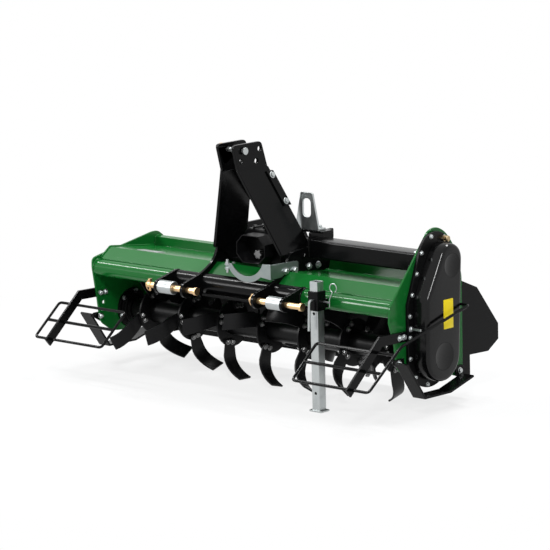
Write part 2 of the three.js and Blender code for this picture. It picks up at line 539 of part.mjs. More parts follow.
for (let i = 0; i < TINE_SETS; i++) {
  const tines = Array.from({ length: TINES },
    (_, k) => tine(k % 2 ? -1 : 1).rotate([k * 360 / TINES, 0, 0]));
  add(`tine_set_${i + 1}`, join(hub, ...tines).rotate([TIP_DEG[i], 0, 0])
    .translate([(i - (TINE_SETS - 1) / 2) * TINE_PITCH, AXIS.y, AXIS.z]), steel);
}

// ---- input shaft
const splines = Array.from({ length: 6 },
  (_, k) => box(-4.4, 4.4, -72, -34, 14, 22).rotate([0, 60 * k, 0]));
add('input_shaft', cut(round('y', [0, 0], 17.5, -72, boxFront - FIT, 36), ...splines)
  .translate([0, 0, PTO.z]), zinc);

const bounds = new THREE.Box3().setFromObject(part);
const middle = bounds.getCenter(new THREE.Vector3());
part.position.set(-middle.x, -middle.y, -bounds.min.z);

export default part;
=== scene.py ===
"""Rotary tiller for a small tractor: finishes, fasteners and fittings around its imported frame."""
import json
import math

import bmesh
import bpy
import numpy as np
from bpy.props import FloatProperty, FloatVectorProperty, PointerProperty
from mathutils import Matrix, Vector

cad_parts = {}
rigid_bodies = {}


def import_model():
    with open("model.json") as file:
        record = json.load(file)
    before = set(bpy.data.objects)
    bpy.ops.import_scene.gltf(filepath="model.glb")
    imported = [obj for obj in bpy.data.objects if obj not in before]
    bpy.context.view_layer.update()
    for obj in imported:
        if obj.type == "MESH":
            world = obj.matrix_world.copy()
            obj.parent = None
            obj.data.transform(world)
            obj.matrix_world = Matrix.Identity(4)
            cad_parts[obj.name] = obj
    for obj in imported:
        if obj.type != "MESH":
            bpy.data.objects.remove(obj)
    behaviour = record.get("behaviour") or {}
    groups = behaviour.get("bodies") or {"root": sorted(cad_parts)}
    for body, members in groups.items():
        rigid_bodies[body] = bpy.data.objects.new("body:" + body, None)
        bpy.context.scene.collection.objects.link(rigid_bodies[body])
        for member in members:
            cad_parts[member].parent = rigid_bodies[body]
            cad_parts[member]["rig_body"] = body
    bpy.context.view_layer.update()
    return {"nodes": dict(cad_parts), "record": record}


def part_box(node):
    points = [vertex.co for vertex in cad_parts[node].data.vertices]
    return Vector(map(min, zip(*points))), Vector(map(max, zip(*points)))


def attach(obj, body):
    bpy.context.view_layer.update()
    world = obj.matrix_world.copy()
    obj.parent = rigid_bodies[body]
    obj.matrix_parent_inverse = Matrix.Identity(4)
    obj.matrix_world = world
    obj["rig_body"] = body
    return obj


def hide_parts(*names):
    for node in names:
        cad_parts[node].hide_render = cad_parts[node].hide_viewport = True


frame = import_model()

bl_info = {
    "name": "Rotary tiller",
    "version": (1, 0, 0),
    "blender": (4, 5, 0),
    "location": "View3D > Sidebar > Tiller",
    "description": "Finishes, fasteners and fittings for a tractor-mounted rotary tiller",
    "category": "Object",
}

MM = 0.001
AXLE = np.array(sum(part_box("rotor_tube"), Vector()) / 2)      # middle of the rotor
ALL_SLOTS = {part["node"]: part["material_slot"] for part in frame["record"]["subparts"]}

# Sizes in millimetres, measured from the middle of the rotor; pairs are (y, z).
FACE = 750            # outer face of a side plate
INNER = 742           # inner face of a side plate
SHAFT = (50, 322)     # upper shaft of the gear case
TUBE = (-168, 183)    # front tube
LUG_SIDE = 184        # outer face of a headstock plate
LUG_WALL = 12         # thickness of a headstock plate
FLANGE = 762          # outer face of the gear case's flange
COVER = 828.3         # outer face of the gear cover
CASE_DISCS = ((0, 0, 120), (40, 344, 94), (-69, 185, 50))    # y, z, radius of the flange's rounds
MAST_FOLD = (39, -212, 625, 162)      # x, y, z and width of a mast plate at its upper fold
MAST_FOOT = (165.7, -127, 312, 170)   # the same at its foot
TINE_DEG = (32, 17, -2.1, -14.4, -30, -42, -75.6)    # each flange's first tine, from straight down
TINE_PITCH, TINES = 203, 4            # flange to flange, and tines on a flange
HOOD = ((-158, 215.3), (-105, 252), (143, 222), (146, 256), (172, 258))    # hood's line
LEG = (440, -240)     # x and y of the parking leg
SAME_PLACE = 0.01     # two points of a path nearer than this are one
SINK = 0.6            # how far a fitting is let into the face it sits on


def place(points):
    """Millimetres from the middle of the rotor, turned into the frame's metres."""
    return AXLE + np.asarray(points, float) * MM


# ---------------------------------------------------------------- surfaces
class Shape:
    """Closed surfaces gathered into one mesh.

    Each surface is a grid of rings: quads join neighbouring rings, and flat faces close the two
    ends. Its faces are turned outwards by the sign of the volume they enclose.
    """

    def __init__(self):
        self.points, self.faces, self.total = [], [], 0

    def grid(self, rings):
        """Adds one surface for each grid in an array of shape (..., rings, sides, 3)."""
        rings = np.asarray(rings, float)
        rings = rings.reshape((-1,) + rings.shape[-3:])
        copies, n, m, _ = rings.shape
        i, j = np.meshgrid(np.arange(n - 1), np.arange(m), indexing="ij")
        here, beside = i * m + j, i * m + (j + 1) % m
        quads = np.stack([here, beside, beside + m, here + m], -1).reshape(-1, 4)
        flat = rings[0].reshape(-1, 3)
        flat = flat - flat.mean(0)
        a, b, c, d = (flat[quads[:, s]] for s in range(4))
        volume = np.einsum("ij,ij->", a, np.cross(b, c)) + np.einsum("ij,ij->", a, np.cross(c, d))
        ends = [np.arange(m)[::-1][None], (np.arange(m) + (n - 1) * m)[None]]
        volume += sum(
            np.einsum("ij,ij->", np.repeat(flat[e[0, :1]], m - 2, 0),
                      np.cross(flat[e[0, 1:-1]], flat[e[0, 2:]])) for e in ends)
        flip = slice(None, None, -1 if volume < 0 else 1)
        start = self.total + np.arange(copies)[:, None, None] * (n * m)
        for group in [quads, *ends]:
            made = (group[None] + start).reshape(-1, group.shape[1])
            self.faces.extend(made[:, flip].tolist())
        self.points.append(rings.reshape(-1, 3))
        self.total += copies * n * m

    def bend_to(self, template, places, axes):
        """Sets copies of a template, drawn along +z, on each place with its z along each axis."""
        places, axes = np.broadcast_arrays(np.atleast_2d(place(places)), np.atleast_2d(axes))
        z = axes / np.linalg.norm(axes, axis=1, keepdims=True)
        aid = np.where(np.abs(z[:, 2:]) > 0.9, [[1.0, 0, 0]], [[0, 0, 1.0]])
        x = np.cross(aid, z)
        x /= np.linalg.norm(x, axis=1, keepdims=True)
        basis = np.stack([x, np.cross(z, x), z], 1)
        for rings in template:
            spread = np.einsum("rsk,nkd->nrsd", np.asarray(rings) * MM, basis)
            self.grid(spread + places[:, None, None])


def ring_of(profile, sides):
    """A profile of (radius, height) pairs carried round the z axis in equal steps."""
    r, h = np.asarray(profile, float).T
    t = np.arange(sides) * 2 * math.pi / sides
    return np.stack([np.outer(r, np.cos(t)), np.outer(r, np.sin(t)),
                     np.repeat(h[:, None], sides, 1)], -1)


def hex_bolt(size, stud=0.0):
    """Six-sided head with its corners eased, a washer, and a stud end that stands out of the head.

    Head and washer are in fixed proportion to the thread's size.
    """
    across, head, base = size * 0.87, size * 0.64, size * 0.2
    top = base + head
    parts = [ring_of([(across * 0.9, base - SINK), (across, base + 0.2),
                      (across, base + head * 0.82), (across * 0.88, top)], 6),
             ring_of([(size * 1.12, -SINK), (size * 1.12, base * 0.8), (size * 1.05, base)], 16)]
    if stud:
        end = top + stud
        parts.append(ring_of([(size / 2, base + head * 0.5), (size / 2, end - 1),
                              (size * 0.4, end)], 10))
    return parts


def along(path, radius, sides, aid=(0, 0, 1), ripple=0.0, pitch=5.0):
    """A round section carried along a path, square to its direction.

    The aid is a direction the path never takes. The radius is times one plus ripple times the
    absolute sine of the length run, one wave a pitch, as a weld bead swells.
    """
    path = np.asarray(path, float)
    apart = np.linalg.norm(np.diff(path, axis=0), axis=1) > SAME_PLACE
    path = path[np.concatenate([[True], apart])]
    step = np.gradient(path, axis=0)
    step /= np.linalg.norm(step, axis=1, keepdims=True)
    side = np.cross(step, np.asarray(aid, float))
    side /= np.linalg.norm(side, axis=1, keepdims=True)
    up = np.cross(side, step)
    run = np.concatenate([[0], np.cumsum(np.linalg.norm(np.diff(path, axis=0), axis=1))])
    r = radius * (1 + ripple * np.abs(np.sin(math.pi * run / pitch)))[:, None, None]
    t = np.arange(sides) * 2 * math.pi / sides
    ring = np.cos(t)[None, :, None] * side[:, None] + np.sin(t)[None, :, None] * up[:, None]
    return place(path[:, None] + r * ring)


def rounded_path(points, reach, steps=6):
    """Straight runs between the points, each inner corner cut by a quadratic curve.

    The curve starts and ends the reach away from the corner and leans towards it.
    """
    points = np.asarray(points, float)
    here, back, on = points[1:-1], points[:-2] - points[1:-1], points[2:] - points[1:-1]
    back = here + back / np.linalg.norm(back, axis=1, keepdims=True) * reach
    on = here + on / np.linalg.norm(on, axis=1, keepdims=True) * reach
    t = np.linspace(0, 1, steps + 1)[None, :, None]
    curve = (1 - t) ** 2 * back[:, None] + 2 * t * (1 - t) * here[:, None] + t ** 2 * on[:, None]
    return np.concatenate([points[:1], curve.reshape(-1, 3), points[-1:]])


def spaced(a, b, step):
    """Even points from a to b, about a step apart and at least three."""
    a, b = np.asarray(a, float), np.asarray(b, float)
    count = max(3, int(np.linalg.norm(b - a) / step) + 1)
    return a + (b - a) * np.linspace(0, 1, count)[:, None]


def settle(name, mesh, finish, body, nodes=()):
    """Makes the object for a finished mesh, gives it the finish, ties it to its body and hides the
    nodes it stands for.
    """
    obj = bpy.data.objects.new(name, mesh)
    bpy.context.scene.collection.objects.link(obj)
    mesh.materials.clear()
    mesh.materials.append(finish)
    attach(obj, body)
    if nodes:
        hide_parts(*nodes)
    return obj


def piece(name, shape, finish, body="frame", sharp=35):
    """One object from gathered surfaces, smooth except across corners sharper than the angle."""
    mesh = bpy.data.meshes.new(name)
    mesh.from_pydata(np.concatenate(shape.points), [], shape.faces)
    mesh.shade_smooth()
    mesh.set_sharp_from_angle(angle=math.radians(sharp))
    return settle(name, mesh, finish, body)


MERGE_NEAR = 2e-6     # metres
FLAT_DEG = 0.6        # faces that meet at less are one face
SHARP_DEG = 32        # an edge that turns more is a crease
EASED_DEG = 38        # an edge that turns more is eased


def eased(node, width, finish):
    """A copy of a CAD node with its loose triangles merged into whole faces and its edges eased.

    The width is in millimetres; with none the edges stay sharp.
    """
    mesh = frame["nodes"][node].data.copy()
    mesh.name = node + "_eased"
    bm = bmesh.new()
    bm.from_mesh(mesh)
    bmesh.ops.remove_doubles(bm, verts=bm.verts, dist=MERGE_NEAR)
    bmesh.ops.dissolve_limit(bm, angle_limit=math.radians(FLAT_DEG), verts=bm.verts,
                             edges=bm.edges)
    bm.to_mesh(mesh)
    bm.free()
    if mesh.attributes.get("custom_normal"):
        mesh.attributes.remove(mesh.attributes["custom_normal"])
    mesh.shade_smooth()
    mesh.set_sharp_from_angle(angle=math.radians(SHARP_DEG))
    body = frame["nodes"][node]["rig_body"]
    obj = settle(mesh.name, mesh, finish, body, [node])
    if width:
        edge = obj.modifiers.new("eased edges", "BEVEL")
        edge.width, edge.segments = width * MM, 2
        edge.limit_method, edge.angle_limit = "ANGLE", math.radians(EASED_DEG)
        edge.use_clamp_overlap = False
        edge.harden_normals = True
    return obj


# ---------------------------------------------------------------- finishes
class Value:
    """A node's output that takes part in sums: each operator adds one Math node."""

    def __init__(self, graph, socket):
        self.graph, self.socket = graph, socket

    def maths(self, operation, *terms):
        """A Math node on the terms, which are numbers or Values."""
        return self.graph.node("ShaderNodeMath", {"operation": operation}, dict(enumerate(terms)))

    def __add__(self, other): return self.maths("ADD", self, other)
    def __sub__(self, other): return self.maths("SUBTRACT", self, other)
    def __rsub__(self, other): return self.maths("SUBTRACT", other, self)
    def __mul__(self, other): return self.maths("MULTIPLY", self, other)
    __radd__, __rmul__ = __add__, __mul__

    def most(self, other):
        """The larger of the two."""
        return self.maths("MAXIMUM", self, other)

    def step(self, low, high):
        """0 below low, 1 above high and smooth between them."""
        return self.graph.node("ShaderNodeMapRange", {"interpolation_type": "SMOOTHSTEP"},
                               {0: self, 1: low, 2: high, 3: 0.0, 4: 1.0})


class Graph:
    """The node tree of a material or a world."""

    def __init__(self, owner):
        owner.use_nodes = True
        self.tree = owner.node_tree
        self.tree.nodes.clear()

    def node(self, kind, settings=None, inputs=None, output=0):
        """Adds a node: its settings first, then a value or a link for each named socket."""
        made = self.tree.nodes.new(kind)
        for key, value in (settings or {}).items():
            setattr(made, key, value)
        for key, value in (inputs or {}).items():
            if isinstance(value, Value):
                self.tree.links.new(value.socket, made.inputs[key])
            else:
                made.inputs[key].default_value = value
        return Value(self, made.outputs[output])

    def out(self, shader, kind="ShaderNodeOutputMaterial"):
        """Joins a shader to the tree's output."""
        end = self.tree.nodes.new(kind)
        self.tree.links.new(shader.socket, end.inputs["Surface"])


class Finish(Graph):
    """A node material with one Principled shader, patterned in the piece's own metres."""

    def __init__(self, name):
        self.material = bpy.data.materials.new(name)
        super().__init__(self.material)
        self.where = self.node("ShaderNodeTexCoord", output="Object")

    def noise(self, scale, detail=2.0, stretch=None, rough=0.5):
        """Clouds, with the scale in clouds a metre; stretch multiplies it along each axis."""
        where = self.where
        if stretch:
            where = self.node("ShaderNodeMapping", {}, {"Vector": where, "Scale": stretch})
        return self.node("ShaderNodeTexNoise", {}, {
            "Vector": where, "Scale": scale, "Detail": detail, "Roughness": rough})

    def mix(self, factor, first, second):
        """Between two colours, the sockets 0, 6 and 7 of a Mix node set to colour."""
        return self.node("ShaderNodeMix", {"data_type": "RGBA"},
                         {0: factor, 6: colour_or_link(first), 7: colour_or_link(second)},
                         output=2)

    def close(self, colour, roughness, bump, depth, metallic=0.0, **fixed):
        """Joins colour, roughness and relief, depth metres deep; fixed sets plain sockets."""
        relief = self.node("ShaderNodeBump", {}, {
            "Height": bump, "Distance": depth, "Strength": 1.0})
        inputs = {"Base Color": colour_or_link(colour), "Roughness": roughness,
                  "Metallic": metallic, "Normal": relief,
                  **{key.replace("_", " "): value for key, value in fixed.items()}}
        self.out(self.node("ShaderNodeBsdfPrincipled", {}, inputs))
        return self.material


def colour_or_link(colour):
    """A link as it is, and a colour with its alpha."""
    return colour if isinstance(colour, Value) else (*colour[:3], 1.0)


def times(colour, share):
    """A colour made darker or lighter, no channel past 1."""
    return [min(1, c * share) for c in colour]


def paint(name, colour, gloss, shine, dust=0.02):
    """Sprayed coat: broad drift of shade, orange peel, hairline scuffs and settled dust."""
    f = Finish(name)
    broad = f.noise(2.6, 3.0)
    peel = f.noise(340.0, 2.0)
    grains = f.noise(1500.0, 1.0)
    scuffs = f.noise(26.0, 5.0, stretch=(1.0, 6.0, 2.0), rough=0.7).step(0.60, 0.70)
    powder = (f.noise(9.0, 4.0) * 0.7 + grains * 0.3).step(0.50, 0.72) * dust
    shade = f.mix(broad, times(colour, 0.82), times(colour, 1.2))
    dusty = f.mix(powder * 0.22, shade, [0.42 * 0.5 + c * 0.5 for c in colour])
    rough = broad * 0.06 + (gloss - 0.03) + scuffs * 0.10 + powder * 0.35
    return f.close(dusty, rough, peel + grains * 0.2, 0.00002, Specular_IOR_Level=shine)


def plating(name, colour, tint, gloss):
    """Bright plated steel: cloudy spangle, two slightly different tints and fine draw lines."""
    f = Finish(name)
    cloud = f.noise(38.0, 4.0, rough=0.6)
    lines = f.noise(240.0, 3.0, stretch=(1.0, 0.12, 1.0))
    cells = f.node("ShaderNodeTexVoronoi", {}, {"Vector": f.where, "Scale": 120.0},
                   output="Distance")
    stain = f.noise(12.0, 5.0, rough=0.65).step(0.52, 0.75)
    base = f.mix(cloud, colour, tint)
    base = f.mix(stain * 0.35, base, times(colour, 0.55))
    rough = cloud * 0.14 + (gloss - 0.06) + stain * 0.12 + cells * 0.05
    return f.close(base, rough, lines * 0.5 + cells * 0.5, 0.00003, metallic=1.0)


def forged(name, colour, bright, gloss):
    """Forged steel under a thin coat that lets the scale and a little bare metal show."""
    f = Finish(name)
    scale = f.noise(85.0, 5.0, rough=0.62)
    broad = f.noise(5.0, 3.0)
    bare = (f.noise(30.0, 6.0, rough=0.72) * 0.8 + scale * 0.2).step(0.60, 0.68)
    base = f.mix(broad, times(colour, 0.8), times(colour, 1.25))
    base = f.mix(bare * 0.5, base, bright)
    rough = scale * 0.22 + (gloss - 0.1) + bare * 0.1
    return f.close(base, rough, scale, 0.00018, metallic=bare * 0.6, Specular_IOR_Level=0.14)


def moulded(name, colour, gloss):
    """Moulded plastic with a fine leathery grain."""
    f = Finish(name)
    grain = f.noise(900.0, 3.0)
    broad = f.noise(14.0, 3.0)
    base = f.mix(broad, times(colour, 0.85), times(colour, 1.15))
    rough = broad * 0.12 + (gloss - 0.06)
    return f.close(base, rough, grain, 0.00006, Specular_IOR_Level=0.14)


def label(name, colour, gloss, metallic=0.0):
    """Blank plate: a smooth film with faint cloudiness and fine rub marks."""
    f = Finish(name)
    cloud = f.noise(30.0, 4.0)
    rubs = f.noise(160.0, 4.0, stretch=(1.0, 0.1, 1.0), rough=0.7).step(0.55, 0.75)
    base = f.mix(cloud, times(colour, 0.93), times(colour, 1.03))
    rough = rubs * 0.15 + (gloss - 0.02)
    return f.close(base, rough, cloud, 0.00004, metallic=metallic, Specular_IOR_Level=0.15)


FINISHES = {}


def finishes(sizes):
    """All finishes, made once."""
    if not FINISHES:
        green, black = tuple(sizes.green), tuple(sizes.black)
        FINISHES.update(
            green_paint=paint("green_paint", green, sizes.gloss, 0.22),
            black_paint=paint("black_paint", black, sizes.gloss, 0.10),
            cover_paint=paint("cover_paint", black, sizes.gloss - 0.03, 0.24),
            cast_paint=forged("cast_paint", black, [c * 2 for c in black], 0.38),
            zinc_plate=plating("zinc_plate", (0.40, 0.43, 0.44), (0.50, 0.52, 0.51), 0.34),
            # darker copy of zinc_plate, its grey lowered as painted shade for the shaft holder
            dull_zinc=plating("dull_zinc", (0.20, 0.24, 0.24), (0.30, 0.33, 0.32), 0.36),
            gold_zinc=plating("gold_zinc", (0.74, 0.54, 0.22), (0.78, 0.50, 0.34), 0.30),
            tine_steel=forged("tine_steel", (0.005, 0.005, 0.0055), (0.05, 0.048, 0.046), 0.34),
            bare_steel=plating("bare_steel", (0.16, 0.16, 0.17), (0.26, 0.26, 0.25), 0.32),
            black_plastic=moulded("black_plastic", (0.005, 0.005, 0.0055), 0.40),
            yellow_plate=label("yellow_plate", (0.90, 0.70, 0.012), 0.30),
            silver_plate=label("silver_plate", (0.42, 0.43, 0.44), 0.32, 0.9),
            brass=plating("brass", (0.34, 0.26, 0.14), (0.46, 0.36, 0.22), 0.34),
        )
    return FINISHES


# ---------------------------------------------------------------- settings
class TillerFinish(bpy.types.PropertyGroup):
    """Colours and gloss of the coats."""
    green: FloatVectorProperty(name="Green", description="Colour of the hood and side plates",
                               subtype="COLOR", default=(0.005, 0.118, 0.018), min=0, max=1)
    black: FloatVectorProperty(name="Black", description="Colour of the hitch, case and guards",
                               subtype="COLOR", default=(0.0026, 0.0027, 0.0029), min=0, max=1)
    gloss: FloatProperty(name="Roughness", description="Roughness of the sprayed coats",
                         subtype="FACTOR", default=0.18, min=0.05, max=0.9)


class TillerSizes(bpy.types.PropertyGroup):
    """Sizes of the fittings."""
    bolt: FloatProperty(name="Bolt", description="Thread diameter of the frame's bolts",
                        unit="LENGTH", subtype="DISTANCE", default=0.012, min=0.006, max=0.016)
    bead: FloatProperty(name="Weld bead", description="Radius of the weld beads",
                        unit="LENGTH", subtype="DISTANCE", default=0.0035, min=0.001, max=0.006)


# ---------------------------------------------------------------- operators
EASE = {       # node: eased edge in mm
    "hood_sheet": 0.8, "front_tube": 0.8, "side_plate_left": 1.2, "side_plate_right": 1.2,
    "gear_case": 1.6, "gear_cover": 1.0, "bearing_housing": 1.2, "headstock_left": 1.2,
    "headstock_right": 1.2, "outer_lug_left": 1.2, "outer_lug_right": 1.2,
    "tube_shell_middle": 0.8, "tube_shell_left": 0.8, "tube_shell_right": 0.8, "mast_left": 1.4,
    "mast_right": 1.4, "mast_brace": 1.0, "lower_pin_left": 1.0, "lower_pin_right": 1.0,
    "lynch_pin_left": 0, "lynch_pin_right": 0, "pin_bush_left": 1.6, "pin_bush_right": 1.6,
    "top_pin": 0.8, "top_lynch_pin": 0, "gearbox": 3.0, "shaft_guard": 1.0, "drive_beam": 1.6,
    "shaft_holder": 0.9, "lift_bracket": 1.0, "lift_plate": 1.2, "skid_left": 1.2,
    "skid_right": 1.2, "guard_left": 0, "guard_right": 0, "stand_sleeve": 1.2, "stand_leg": 0.8,
    "stand_pin": 0, "hinge_rod": 0, "tail_board": 0.5, "rotor_tube": 1.0, "input_shaft": 0.4,
    **{f"tine_set_{i}": 0.9 for i in range(1, 8)},
}
OWN_FINISH = {       # nodes finished otherwise than their slot says
    "gearbox": "cast_paint", "gear_case": "cast_paint", "bearing_housing": "cast_paint",
    "rotor_tube": "cast_paint", "shaft_guard": "black_plastic", "gear_cover": "cover_paint",
    # the shaft holder takes the darker zinc copy, which is painted shade
    "shaft_holder": "dull_zinc",
}


class TILLER_OT_frame(bpy.types.Operator):
    """Gives every CAD node its finish and eased edges"""
    bl_idname = "tiller.frame"
    bl_label = "Frame finishes"

    def execute(self, context):
        coats = finishes(context.scene.tiller_finish)
        for node, width in EASE.items():
            coat = coats[OWN_FINISH.get(node, ALL_SLOTS[node])]
            eased(node, width, coat)
            materials = frame["nodes"][node].data.materials
            materials.clear()
            materials.append(coat)
        return {"FINISHED"}


def oval(discs, inset, count):
    """Evenly spaced (y, z) places on the outline drawn tight round discs, pulled in by inset.

    The outline is an arc of each disc, from one shared tangent's heading to the next one's, and
    the straight runs between them.
    """
    discs = [np.array(d, float) - (0, 0, inset) for d in discs]
    runs = []
    for (y, z, r), (v, w, q) in zip(discs, discs[1:] + discs[:1]):
        lean = math.atan2(w - z, v - y) - math.acos((r - q) / math.hypot(v - y, w - z))
        runs.append((lean, (y, z, r)))
    line = []
    for k, (lean, here) in enumerate(runs):
        start = runs[k - 1][0]
        turn = (lean - start) % (2 * math.pi)
        t = start + turn * np.linspace(0, 1, 40)
        line.append(np.array(here[:2]) + here[2] * np.stack([np.cos(t), np.sin(t)], 1))
    line = np.concatenate(line + [line[0][:1]])
    run = np.concatenate([[0], np.cumsum(np.linalg.norm(np.diff(line, axis=0), axis=1))])
    at = np.linspace(0, run[-1], count, endpoint=False)
    return np.stack([np.interp(at, run, line[:, k]) for k in (0, 1)], 1)


def on_side(x, pairs):
    """Places at one station across the machine."""
    pairs = np.asarray(pairs, float).reshape(-1, 2)
    return np.column_stack([np.full(len(pairs), x), pairs])


RIM_INSET, RIM_BOLTS = 11, 17     # case bolts: in from the flange's edge, and how many
BEAM_REACH = 80                   # no bolt head fits inside the plate this near the drive beam
LONG_STUD, STUD_OUT = (-104, 108), 38
BREATHER = (84, 408)
BOWLS = (((0, 0), 49.6), (SHAFT, 42.6))      # middle and radius of the cover's round dishes
BOWL_BACK, BOWL_DEEP, BOWL_LIFT = -5.9, 5.2, 0.1


class TILLER_OT_case_bolts(bpy.types.Operator):
    """Bolts round the gear case, its breather and the round dishes of its cover"""
    bl_idname = "tiller.case_bolts"
    bl_label = "Gear case bolts"

    def execute(self, context):
        coats = finishes(context.scene.tiller_finish)
        ring = oval(CASE_DISCS, RIM_INSET, RIM_BOLTS)
        bolts = Shape()
        bolts.bend_to(hex_bolt(8), on_side(FLANGE, ring), [1, 0, 0])
        inner = ring[np.hypot(*(ring - np.array(SHAFT)).T) > BEAM_REACH]
        bolts.bend_to(hex_bolt(8, stud=5), on_side(INNER, inner), [-1, 0, 0])
        bolts.bend_to(hex_bolt(10, stud=STUD_OUT), on_side(FLANGE, [LONG_STUD]), [1, 0, 0])
        piece("case_bolts", bolts, coats["zinc_plate"])
        breather = Shape()
        breather.bend_to([ring_of([(12, -0.5), (12, 8), (10, 9)], 6),
                          ring_of([(7, 8), (7, 14), (11, 15), (11, 22), (8, 25)], 24)],
                         on_side(FLANGE, [BREATHER]), [1, 0, 0])
        piece("case_breather", breather, coats["brass"])
        bowls = Shape()
        r = np.linspace(0.02, 1, 16)[::-1]       # depth falls as one less the radius squared
        for middle, radius in BOWLS:
            bowl = [(radius, BOWL_BACK), *zip(r * radius, -BOWL_DEEP * (1 - r ** 2) - BOWL_LIFT)]
            bowls.bend_to([ring_of(bowl, 56)], on_side(COVER, [middle]), [1, 0, 0])
        piece("cover_bowls", bowls, coats["cover_paint"], sharp=60)
        return {"FINISHED"}


TINE_ROOT = ((-14, 68), (-38, 66))     # a tine's two bolts: across it, and out from the axis
TINE_FACE, FLANGE_FACE = 10.5, 4       # from a flange's middle to a tine's face and to its own


class TILLER_OT_tine_bolts(bpy.types.Operator):
    """Two bolts at the root of every tine, head on the tine and nut on the flange"""
    bl_idname = "tiller.tine_bolts"
    bl_label = "Tine bolts"

    def execute(self, context):
        coats = finishes(context.scene.tiller_finish)
        bolts = Shape()
        for side in (1, -1):
            places = []
            for i, first in enumerate(TINE_DEG):
                for k in range(0 if side > 0 else 1, TINES, 2):
                    turn = math.radians(first + 360 / TINES * k)
                    for across, out in TINE_ROOT:
                        places.append(((i - len(TINE_DEG) // 2) * TINE_PITCH,
                                       across * math.cos(turn) + out * math.sin(turn),
                                       across * math.sin(turn) - out * math.cos(turn)))
            places = np.array(places)
            bolts.bend_to(hex_bolt(10), places + (side * TINE_FACE, 0, 0), [side, 0, 0])
            bolts.bend_to(hex_bolt(10, stud=5), places - (side * FLANGE_FACE, 0, 0),
                          [-side, 0, 0])
        piece("tine_bolts", bolts, coats["bare_steel"], body="rotor")
        return {"FINISHED"}


BEARING_RING, BEARING_FLANGE = 68, 12     # radius of the bolt circle; the flange's thickness


class TILLER_OT_bearing_trim(bpy.types.Operator):
    """Bolts of the left rotor bearing and its cap outside the left plate"""
    bl_idname = "tiller.bearing_trim"
    bl_label = "Left bearing"

    def execute(self, context):
        coats = finishes(context.scene.tiller_finish)
        t = np.arange(6) * math.pi / 3 + 0.3
        ring = np.stack([np.cos(t), np.sin(t)], 1) * BEARING_RING
        bolts, cap = Shape(), Shape()
        bolts.bend_to(hex_bolt(9), on_side(-INNER + BEARING_FLANGE, ring), [1, 0, 0])
        bolts.bend_to(hex_bolt(9, stud=5), on_side(-FACE, ring), [-1, 0, 0])
        piece("bearing_bolts", bolts, coats["zinc_plate"])
        cap.bend_to([ring_of([(46, -0.5), (46, 5), (43, 8), (20, 11), (4, 11.5)], 48)],
                    on_side(-FACE, [(0, 0)]), [-1, 0, 0])
        piece("bearing_cap", cap, coats["black_paint"])
        return {"FINISHED"}


BRACE_SHARES = (0.10, 0.41)       # the brace's bolts, as shares of the way from fold to foot
BRACE_OUT, BRACE_IN = 13.0, 11    # past the mast plate's face, and in from its rear edge
CLAMP = [(-26, -207, 275), (-26, -207, 262)]           # the cradle's clamp bolt, above and below
LIFT_BOLTS = [(126, 56, 396.3), (196, 56, 396.3)]
DECK_BOLTS = [(-150, -76, 247.9), (-118, -76, 247.9), (150, -76, 247.9), (118, -76, 247.9)]
BOX_X, BOX_Y = (-78, -30, 30, 78), (4, 72)             # the gearbox lid's bolts, in pairs
BOX_LID, BOX_PLUG = 378, (0, -16)                      # height of the lid; x and y of its plug


class TILLER_OT_mast_trim(bpy.types.Operator):
    """Bolts of the mast brace, the gearbox, the cradle and the lifting plate"""
    bl_idname = "tiller.mast_trim"
    bl_label = "Mast and gearbox bolts"

    def execute(self, context):
        coats = finishes(context.scene.tiller_finish)
        bright, dark = Shape(), Shape()
        fold, foot = np.array(MAST_FOLD), np.array(MAST_FOOT)
        rise, spread = fold[2] - foot[2], foot[0] - fold[0]
        out = np.array([rise, 0, spread]) / math.hypot(rise, spread)
        for s in (1, -1):
            for share in BRACE_SHARES:
                x, y, z, width = (1 - share) * fold + share * foot
                where = ((x + BRACE_OUT) * s, y + width - BRACE_IN, z)
                bright.bend_to(hex_bolt(11), [where], out * (s, 1, 1))
        bright.bend_to(hex_bolt(10, stud=10), CLAMP, [[0, 0, 1], [0, 0, -1]])
        bright.bend_to(hex_bolt(10), LIFT_BOLTS, [0, 0, 1])
        bright.bend_to(hex_bolt(8), DECK_BOLTS, [0, 0, 1])
        for x in BOX_X:
            dark.bend_to(hex_bolt(9), [(x, y, BOX_LID) for y in BOX_Y], [0, 0, 1])
        dark.bend_to([ring_of([(9, -0.5), (9, 4), (13, 5), (13, 13), (10, 16), (3, 17)], 24)],
                     [(*BOX_PLUG, BOX_LID)], [0, 0, 1])
        piece("mast_bolts", bright, coats["zinc_plate"])
        piece("gearbox_bolts", dark, coats["black_paint"])
        return {"FINISHED"}


CLIP_FROM_LEG = (52, 12)                 # x and y from the leg to the clip's wire
CLIP_TOP, CLIP_RING, CLIP_WIRE = 247, 16, 1.7      # height and radius of its ring; wire radius
LEG_PIN, LEG_PIN_END, LEG_PIN_R = 192, 23, 4       # height, end from the leg's middle, radius


class TILLER_OT_clip(bpy.types.Operator):
    """Wire clip that keeps the parking leg's pin"""
    bl_idname = "tiller.clip"
    bl_label = "Stand clip"

    def execute(self, context):
        coats = finishes(context.scene.tiller_finish)
        x, y = LEG[0] + CLIP_FROM_LEG[0], LEG[1] + CLIP_FROM_LEG[1]
        t = np.linspace(math.radians(-60), math.radians(255), 40)
        ring = np.stack([x + CLIP_RING + CLIP_RING * np.cos(t), np.full(len(t), y),
                         CLIP_TOP + CLIP_RING * np.sin(t)], 1)
        tail = [(x - 2, y, 205), (x - 3, y, 176)]
        clip = Shape()
        clip.grid(along(np.concatenate([ring, tail]), CLIP_WIRE, 8, aid=(0, 1, 0)))
        clip.grid(along([(x - 2, y, LEG_PIN), (x - 16, y, LEG_PIN),
                         (LEG[0] + LEG_PIN_END, y, LEG_PIN)], LEG_PIN_R, 12))
        piece("stand_clip", clip, coats["zinc_plate"])
        return {"FINISHED"}


